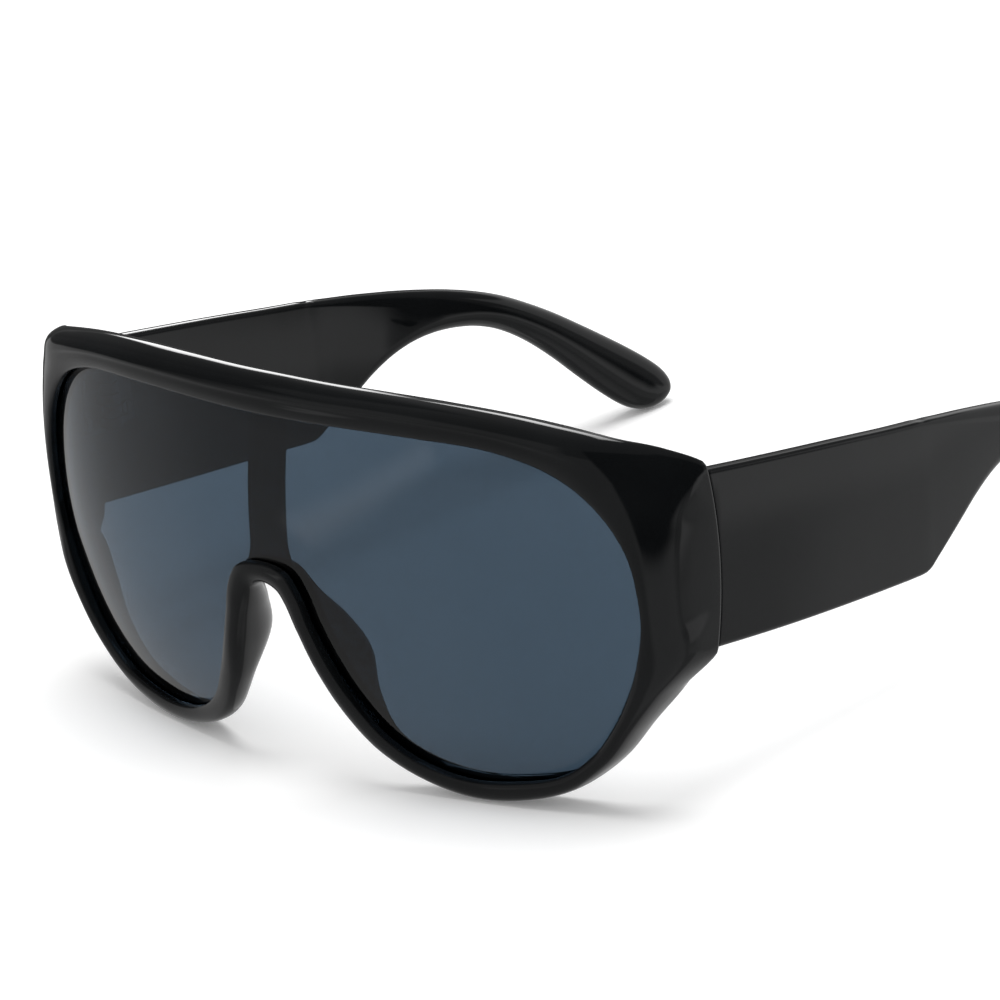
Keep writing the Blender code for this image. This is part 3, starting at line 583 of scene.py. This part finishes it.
def add_piece(mesh, material, slot, body, *nodes):
    """A shown piece in place of CAD nodes, moved from the drawing's frame to the row frame."""
    mesh.transform(Matrix.Translation(SHIFT))
    mesh.materials.clear()
    mesh.materials.append(material)
    made = bpy.data.objects.new(mesh.name, mesh)
    bpy.context.scene.collection.objects.link(made)
    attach(made, body)
    if nodes:
        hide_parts(*nodes)
    return made


def carved(mesh, cuts):
    """The mesh after Booleans with (mesh, operation) cuts."""
    name = mesh.name
    body = bpy.data.objects.new(name, mesh)
    bpy.context.scene.collection.objects.link(body)
    helpers = []
    for cutter, operation in cuts:
        helper = bpy.data.objects.new(cutter.name, cutter)
        bpy.context.scene.collection.objects.link(helper)
        modifier = body.modifiers.new(cutter.name, "BOOLEAN")
        modifier.operation = operation
        modifier.object = helper
        helpers.append(helper)
    bpy.context.view_layer.update()
    graph = bpy.context.evaluated_depsgraph_get()
    made = bpy.data.meshes.new_from_object(body.evaluated_get(graph))
    for obj in [body] + helpers:
        bpy.data.objects.remove(obj, do_unlink=True)
    mesh.name = name + "_blank"
    made.name = name
    return made


def smooth(obj):
    """Smooth shading, with the sharp edges left sharp."""
    obj.data.shade_smooth()
    obj.data.set_sharp_from_angle(angle=math.radians(SHARP_ANGLE))


# Noises of the materials: scale in cells to the metre, and detail
BLACK_FLOW, BLACK_SMEAR, BLACK_RIPPLE = (60.0, 4.0), (130.0, 6.0), (90.0, 2.0)
LENS_TINT, LENS_HAZE, LENS_RIPPLE = (25.0, 2.0), (90.0, 5.0), (30.0, 1.0)
STEEL_GRAIN = (1.0, 2.0)
STEEL_STRETCH = (6000.0, 6000.0, 300.0)  # the grain's scale on each axis, long along the pin
NOISE_RANGE = (0.35, 0.65)  # where nearly all of a noise lies
TONE_RANGE = (0.3, 0.7)  # the same for tones, which change more gently

# Tones, darkest first, then roughness from smoothest, and bumps as strength and height
BLACK_TONES = ((0.0026, 0.003, 0.0034), (0.0042, 0.0048, 0.0053))
BLACK_ROUGHNESS = (0.015, 0.035)
BLACK_BUMP = (0.1, 0.00002)
BLACK_IOR, BLACK_SPECULAR = 1.45, 0.3
LENS_TONES = ((0.039, 0.064, 0.093), (0.043, 0.069, 0.099))
LENS_ROUGHNESS = (0.0, 0.02)
LENS_BUMP = (0.05, 0.00002)
LENS_IOR = 1.4
STEEL_TONES = ((0.05, 0.05, 0.055), (0.14, 0.14, 0.145))
STEEL_ROUGHNESS = (0.3, 0.42)
STEEL_BUMP = (0.03, 0.000004)

# Worn edges, by how far a place sticks out, where 0.5 is flat
BLACK_WORN_RANGE = (0.53, 0.62)
BLACK_WORN_ROUGHNESS = (0.0, 0.05)  # added to the roughness
STEEL_WORN_RANGE = (0.45, 0.62)
BLACK_EDGE, STEEL_EDGE = 0.00045, 0.0001  # radius that sharp edges seem to have
EDGE_SAMPLES = 6


def new_material(name):
    made = bpy.data.materials.new(name)
    made.use_nodes = True
    return made, made.node_tree.nodes, made.node_tree.links, made.node_tree.nodes["Principled BSDF"]


def noise(nodes, links, coordinates, scale, detail):
    made = nodes.new("ShaderNodeTexNoise")
    made.inputs["Scale"].default_value = scale
    made.inputs["Detail"].default_value = detail
    links.new(coordinates, made.inputs["Vector"])
    return made.outputs["Fac"]


def spread(nodes, links, value, source, low, high):
    """The value brought from its source range to the range from low to high."""
    made = nodes.new("ShaderNodeMapRange")
    made.inputs["From Min"].default_value, made.inputs["From Max"].default_value = source
    made.inputs["To Min"].default_value = low
    made.inputs["To Max"].default_value = high
    links.new(value, made.inputs["Value"])
    return made.outputs["Result"]


def toned(nodes, links, value, source, tones, shader):
    """The shader's colour, from the first tone to the second over the source range."""
    ramp = nodes.new("ShaderNodeValToRGB")
    for element, place, tone in zip(ramp.color_ramp.elements, source, tones):
        element.position = place
        element.color = (*tone, 1.0)
    links.new(value, ramp.inputs["Fac"])
    links.new(ramp.outputs["Color"], shader.inputs["Base Color"])


def bumped(nodes, links, value, shader, strength, height, edge):
    """Bump from the value, over edges that seem rounded to the radius edge, if it has one."""
    bump = nodes.new("ShaderNodeBump")
    bump.inputs["Strength"].default_value = strength
    bump.inputs["Distance"].default_value = height
    links.new(value, bump.inputs["Height"])
    links.new(bump.outputs["Normal"], shader.inputs["Normal"])
    if edge:
        rounded = nodes.new("ShaderNodeBevel")
        rounded.samples = EDGE_SAMPLES
        rounded.inputs["Radius"].default_value = edge
        links.new(rounded.outputs["Normal"], bump.inputs["Normal"])


def maths(nodes, links, operation, *values):
    """A sum on numbers or node outputs."""
    made = nodes.new("ShaderNodeMath")
    made.operation = operation
    for i, value in enumerate(values):
        if isinstance(value, (int, float)):
            made.inputs[i].default_value = value
        else:
            links.new(value, made.inputs[i])
    return made.outputs["Value"]


def gloss_black():
    """Polished injection-moulded plastic: near black, with faint flow marks, a slight
    ripple from the mould, and hairline scuffs that dull the most exposed edges."""
    made, nodes, links, shader = new_material("gloss_black_plastic")
    place = nodes.new("ShaderNodeTexCoord").outputs["Object"]
    shader.inputs["IOR"].default_value = BLACK_IOR
    shader.inputs["Specular IOR Level"].default_value = BLACK_SPECULAR
    flow = noise(nodes, links, place, *BLACK_FLOW)
    toned(nodes, links, flow, TONE_RANGE, BLACK_TONES, shader)
    smear = noise(nodes, links, place, *BLACK_SMEAR)
    smear = spread(nodes, links, smear, NOISE_RANGE, *BLACK_ROUGHNESS)
    worn = nodes.new("ShaderNodeNewGeometry").outputs["Pointiness"]
    worn = spread(nodes, links, worn, BLACK_WORN_RANGE, *BLACK_WORN_ROUGHNESS)
    links.new(maths(nodes, links, "ADD", smear, worn), shader.inputs["Roughness"])
    ripple = noise(nodes, links, place, *BLACK_RIPPLE)
    bumped(nodes, links, ripple, shader, *BLACK_BUMP, BLACK_EDGE)
    return made


def smoked_lens():
    """Tinted polished plastic, even in tone, with a faint haze of wiping marks."""
    made, nodes, links, shader = new_material("smoked_lens_plastic")
    place = nodes.new("ShaderNodeTexCoord").outputs["Object"]
    shader.inputs["Transmission Weight"].default_value = 1.0
    shader.inputs["IOR"].default_value = LENS_IOR
    tint = noise(nodes, links, place, *LENS_TINT)
    toned(nodes, links, tint, TONE_RANGE, LENS_TONES, shader)
    haze = noise(nodes, links, place, *LENS_HAZE)
    haze = spread(nodes, links, haze, NOISE_RANGE, *LENS_ROUGHNESS)
    links.new(haze, shader.inputs["Roughness"])
    ripple = noise(nodes, links, place, *LENS_RIPPLE)
    bumped(nodes, links, ripple, shader, *LENS_BUMP, 0)
    return made


def dark_steel():
    """Plated steel with fine brushing along the hinge and brighter worn edges."""
    made, nodes, links, shader = new_material("dark_plated_steel")
    shader.inputs["Metallic"].default_value = 1.0
    stretch = nodes.new("ShaderNodeMapping")
    stretch.inputs["Scale"].default_value = STEEL_STRETCH
    links.new(nodes.new("ShaderNodeTexCoord").outputs["Object"], stretch.inputs["Vector"])
    worn = nodes.new("ShaderNodeNewGeometry").outputs["Pointiness"]
    toned(nodes, links, worn, STEEL_WORN_RANGE, STEEL_TONES, shader)
    grain = noise(nodes, links, stretch.outputs["Vector"], *STEEL_GRAIN)
    brushed = spread(nodes, links, grain, NOISE_RANGE, *STEEL_ROUGHNESS)
    links.new(brushed, shader.inputs["Roughness"])
    bumped(nodes, links, grain, shader, *STEEL_BUMP, STEEL_EDGE)
    return made


BLACK, LENS, STEEL = gloss_black(), smoked_lens(), dark_steel()


def make_front():
    """The front with its centre bar, less the lens's groove, the joints and the leaves' seats."""
    cuts = [
        (bar_mesh(), "UNION"),
        (lens_mesh("groove", LENS_SEAT + FIT_GAP, FIT_GAP), "DIFFERENCE"),
        (joint_prism("front_joint", -FIT_GAP / 2, True), "DIFFERENCE"),
    ]
    for side, label in SIDES:
        cuts.append((pocket_mesh(f"front_pocket_{label}", side, -1), "DIFFERENCE"))
    shell = carved(front_mesh(), cuts)
    smooth(add_piece(shell, BLACK, "gloss_black", "front", "front_frame"))


def make_lens():
    mesh = lens_mesh("lens_shield", LENS_SEAT, 0.0)
    smooth(add_piece(mesh, LENS, "smoked_lens", "front", "lens"))


def make_temple(side, label):
    """One temple, less its end in front of the joint and the seat for its leaf."""
    mesh = mesh_from(loft(temple_rings(side), True), f"temple_arm_{label}")
    cuts = (
        (joint_prism(f"temple_joint_{label}", FIT_GAP / 2, False), "DIFFERENCE"),
        (pocket_mesh(f"temple_pocket_{label}", side, 1), "DIFFERENCE"),
    )
    arm = add_piece(
        carved(mesh, cuts), BLACK, "gloss_black", f"{label}_temple", f"temple_{label}"
    )
    smooth(arm)


def finish_steel():
    """The CAD's own hinge leaves and screws, welded and plated."""
    for name, node in frame["nodes"].items():
        if "leaf" not in name and "screw" not in name:
            continue
        weld = node.modifiers.new("Weld", "WELD")
        weld.merge_threshold = WELD_DISTANCE
        node.data.materials.clear()
        node.data.materials.append(STEEL)


make_front()
make_lens()
for SIDE, LABEL in SIDES:
    make_temple(SIDE, LABEL)
finish_steel()

# Floor
FLOOR_HALF_SIZE = 6.0
FLOOR_COLOUR = (0.96, 0.96, 0.96, 1.0)
FLOOR_ROUGHNESS = 0.8
FLOOR_LIFT = 0.12  # light added to what the camera sees of it


def add_floor():
    """A plain white floor that keeps the shadow and that no gloss mirrors."""
    bm = bmesh.new()
    bmesh.ops.create_grid(bm, x_segments=1, y_segments=1, size=FLOOR_HALF_SIZE)
    floor = bpy.data.objects.new("floor", mesh_from(bm, "floor"))
    bpy.context.scene.collection.objects.link(floor)
    made, nodes, links, shader = new_material("floor_white")
    shader.inputs["Base Color"].default_value = FLOOR_COLOUR
    shader.inputs["Roughness"].default_value = FLOOR_ROUGHNESS
    shader.inputs["Specular IOR Level"].default_value = 0.0
    rays = nodes.new("ShaderNodeLightPath")
    glow = nodes.new("ShaderNodeEmission")
    lift = maths(nodes, links, "MULTIPLY", rays.outputs["Is Camera Ray"], FLOOR_LIFT)
    links.new(lift, glow.inputs["Strength"])
    both = nodes.new("ShaderNodeAddShader")
    links.new(shader.outputs["BSDF"], both.inputs[0])
    links.new(glow.outputs["Emission"], both.inputs[1])
    links.new(both.outputs["Shader"], nodes["Material Output"].inputs["Surface"])
    floor.data.materials.append(made)
    floor.visible_glossy = False


# What the gloss mirrors: parts of the studio, by direction seen from the glasses, each laid
# over the ones before. Azimuth runs from +X towards +Y.
# Panels: azimuth middle and half width, elevation from and to, softness, level
STUDIO = (
    (-20, 38, -60, -12, 7, 0.75),  # table on the right
    (188, 27, -50, 4, 8, 0.6),  # far end of the table, on the left
    (82, 44, -90, 22, 2, 0.8),  # white sweep behind the temples
    (36, 12, -30, -19.5, 2.5, 0.63),  # near corner of the sweep
    (45, 19, -19, -10, 1.5, 1.0),  # front of the sweep, brighter
    (38, 14, 2, 24, 2, 0.2),  # flag at the side of the sweep
    (38, 14, -10, 2, 2, 0.32),  # the same flag, lower part
    (22, 4.5, -17, 6, 1.5, 0.4),  # the flag's end
    (247, 27, 4, 50, 8, 0.55),  # large dim window on the left of the camera
    (353, 48, -13, 50, 3, 0.04),  # dark side of the room on the right
    (143, 15, -30, 4, 1.5, 0.08),  # dark corner behind the left end, below
    (152, 14, 4, 46, 4, 0.08),  # the same corner, above
    (182, 25, 4, 46, 1.5, 0.1),  # dark wall on the left
    (136, 2.5, 3, 15, 0.7, 4.0),  # narrow lamp in the dark corner
)
# Strips: azimuth and elevation of both ends, half width, softness, level
STRIPS = (
    (131, 18, 111, 46, 2.8, 0.7, 5.5),  # strip lamp above the sweep
    (229, -12, 250, 7, 2.0, 2.0, 1.0),  # edge of the window
)
STRIP_FADE_SHARE = 0.1  # of a strip's half length, over which its ends fade
TABLE_LEVEL, TABLE_NEAR_LEVEL, CEILING_LEVEL = 0.46, 0.42, 0.22
TABLE_EDGE_ANGLE, TABLE_EDGE_SOFTNESS = 4, 2
TABLE_NEAR_ANGLE, TABLE_NEAR_SOFTNESS = -50, 12
SOFT_LEVEL = 0.6  # light from all sides on everything but gloss
WHITE = (1.0, 1.0, 1.0, 1.0)

# Lamp: the way it shines, its strength and how wide it looks
KEY_AIM = (0.0, -0.08, -1.0)
KEY_STRENGTH = 2.0
KEY_WIDTH = 40.0

# Camera, fitted to the outlines of both lobes and the temples: its own axes and its place
CAMERA_RIGHT = (0.731415, 0.672073, -0.115542)
CAMERA_UP = (-0.160126, 0.333958, 0.928887)
CAMERA_BACK = (0.662866, -0.660901, 0.351878)
CAMERA_PLACE = (0.620637, -0.561362, 0.358737)
CAMERA_SENSOR, CAMERA_LENS = 36.0, 196.97  # millimetres
CAMERA_NEAR = 0.01


def step_up(nodes, links, value, low, high):
    """A soft step from 0 to 1 as the value goes from low to high."""
    made = nodes.new("ShaderNodeMapRange")
    made.interpolation_type = "SMOOTHSTEP"
    made.inputs["From Min"].default_value = low
    made.inputs["From Max"].default_value = high
    links.new(value, made.inputs["Value"])
    return made.outputs["Result"]


def blended(nodes, links, share, one, two):
    """One where the share is 0 and two where it is 1."""
    made = nodes.new("ShaderNodeMix")
    made.data_type = "FLOAT"
    factor, first, second = made.inputs[0], made.inputs[2], made.inputs[3]
    for socket, value in ((factor, share), (first, one), (second, two)):
        if isinstance(value, (int, float)):
            socket.default_value = value
        else:
            links.new(value, socket)
    return made.outputs[0]


def direction(azimuth, elevation):
    turn, rise = math.radians(azimuth), math.radians(elevation)
    flat = math.cos(rise)
    return Vector((math.cos(turn) * flat, math.sin(turn) * flat, math.sin(rise)))


def dot_with(nodes, links, way, other):
    made = nodes.new("ShaderNodeVectorMath")
    made.operation = "DOT_PRODUCT"
    made.inputs[1].default_value = other
    links.new(way, made.inputs[0])
    return made.outputs["Value"]


def studio_level(nodes, links):
    """How bright the studio is in each direction."""
    way = nodes.new("ShaderNodeTexCoord").outputs["Generated"]
    split = nodes.new("ShaderNodeSeparateXYZ")
    links.new(way, split.inputs["Vector"])
    rise = maths(nodes, links, "ARCSINE", split.outputs["Z"])
    flat = maths(nodes, links, "COSINE", rise)

    def above(angle, softness):
        low, high = math.radians(angle - softness), math.radians(angle + softness)
        return step_up(nodes, links, rise, low, high)

    def beside(azimuth, half_width, softness):
        across = dot_with(nodes, links, way, direction(azimuth, 0))
        across = maths(nodes, links, "DIVIDE", across, flat)
        low, high = (math.cos(math.radians(half_width + i * softness)) for i in (1, -1))
        return step_up(nodes, links, across, low, high)

    near = above(TABLE_NEAR_ANGLE, TABLE_NEAR_SOFTNESS)
    level = blended(nodes, links, near, TABLE_NEAR_LEVEL, TABLE_LEVEL)
    ceiling = above(TABLE_EDGE_ANGLE, TABLE_EDGE_SOFTNESS)
    level = blended(nodes, links, ceiling, level, CEILING_LEVEL)
    for azimuth, half_width, low, high, softness, bright in STUDIO:
        mask = maths(nodes, links, "SUBTRACT", above(low, softness), above(high, softness))
        mask = maths(nodes, links, "MULTIPLY", mask, beside(azimuth, half_width, softness))
        level = blended(nodes, links, mask, level, bright)
    for azimuth, elevation, end_azimuth, end_elevation, half_width, softness, bright in STRIPS:
        start, end = direction(azimuth, elevation), direction(end_azimuth, end_elevation)
        off = dot_with(nodes, links, way, start.cross(end).normalized())
        off = maths(nodes, links, "ABSOLUTE", off)
        low, high = (math.sin(math.radians(half_width + i * softness)) for i in (-1, 1))
        mask = maths(nodes, links, "SUBTRACT", 1.0, step_up(nodes, links, off, low, high))
        along = dot_with(nodes, links, way, (start + end).normalized())
        reach = start.angle(end) / 2
        low, high = (math.cos(reach * (1 + i * STRIP_FADE_SHARE)) for i in (1, -1))
        mask = maths(nodes, links, "MULTIPLY", mask, step_up(nodes, links, along, low, high))
        level = blended(nodes, links, mask, level, bright)
    return level


def add_world():
    """Even soft light for everything but gloss, which mirrors the studio above, and plain
    white for what is seen straight or through the lens."""
    world = bpy.data.worlds.new("studio")
    bpy.context.scene.world = world
    world.use_nodes = True
    nodes, links = world.node_tree.nodes, world.node_tree.links
    soft = nodes["Background"]
    soft.inputs["Strength"].default_value = SOFT_LEVEL
    mirrored = nodes.new("ShaderNodeBackground")
    links.new(studio_level(nodes, links), mirrored.inputs["Strength"])
    white = nodes.new("ShaderNodeBackground")
    for light in (soft, mirrored, white):
        light.inputs["Color"].default_value = WHITE
    rays = nodes.new("ShaderNodeLightPath").outputs
    seen = maths(nodes, links, "MAXIMUM", rays["Is Camera Ray"], rays["Is Transmission Ray"])
    light = soft.outputs["Background"]
    for share, other in ((rays["Is Glossy Ray"], mirrored), (seen, white)):
        mix = nodes.new("ShaderNodeMixShader")
        links.new(share, mix.inputs["Fac"])
        links.new(light, mix.inputs[1])
        links.new(other.outputs["Background"], mix.inputs[2])
        light = mix.outputs["Shader"]
    links.new(light, nodes["World Output"].inputs["Surface"])


def add_sun(name, aim, strength, width):
    """A large soft lamp far away, which lights the floor evenly and isn't mirrored."""
    lamp = bpy.data.lights.new(name, "SUN")
    lamp.energy = strength
    lamp.angle = math.radians(width)
    made = bpy.data.objects.new(name, lamp)
    made.visible_glossy = False
    bpy.context.scene.collection.objects.link(made)
    made.rotation_mode = "QUATERNION"
    made.rotation_quaternion = Vector(aim).to_track_quat("-Z", "Y")


def add_camera():
    """The photograph's viewpoint."""
    made = bpy.data.objects.new("camera", bpy.data.cameras.new("camera"))
    bpy.context.scene.collection.objects.link(made)
    turn = Matrix((CAMERA_RIGHT, CAMERA_UP, CAMERA_BACK)).transposed().to_4x4()
    made.matrix_world = Matrix.Translation(Vector(CAMERA_PLACE) + SHIFT) @ turn
    made.data.sensor_width = CAMERA_SENSOR
    made.data.lens = CAMERA_LENS
    made.data.clip_start = CAMERA_NEAR
    bpy.context.scene.camera = made


add_floor()
add_world()
add_sun("key_light", KEY_AIM, KEY_STRENGTH, KEY_WIDTH)
add_camera()
bpy.context.scene.view_settings.view_transform = "Standard"
